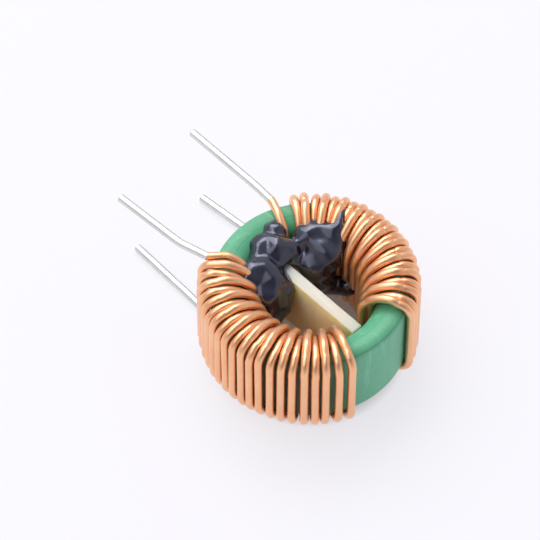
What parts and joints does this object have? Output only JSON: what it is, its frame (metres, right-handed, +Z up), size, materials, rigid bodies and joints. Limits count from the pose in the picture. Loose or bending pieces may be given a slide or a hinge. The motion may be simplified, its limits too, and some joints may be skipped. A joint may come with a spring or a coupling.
{
  "type": "toroidal inductor",
  "caption": "Common-mode toroidal inductor: coated ring core lying flat, two enamelled copper windings, a divider board across the bore, black glue and tinned wire leads on one side.",
  "frame": {"origin": "under the middle of the whole part, on the surface that it lies on", "axes": "+Z up along the ring's axis; the leads point along -X; the divider stands in the XZ plane; the front winding is on the -Y half of the ring"},
  "size_m": [0.0406, 0.0286, 0.0167],
  "materials": {
    "ferrite": "matte dark grey ceramic",
    "green_epoxy": "semi-gloss green epoxy coat",
    "enamelled_copper": "clear enamel on copper wire",
    "cream_board": "matte cream insulating board",
    "black_glue": "glossy black cured glue",
    "tin": "bright solder tin"
  },
  "bodies": {
    "root": {"ferrite_core": "ferrite", "epoxy_coat": "green_epoxy", "front_winding": "enamelled_copper", "rear_winding": "enamelled_copper", "divider": "cream_board", "glue": "black_glue", "front_upper_lead_tin": "tin", "front_lower_lead_tin": "tin", "rear_upper_lead_tin": "tin", "rear_lower_lead_tin": "tin"}
  },
  "joints": []
}
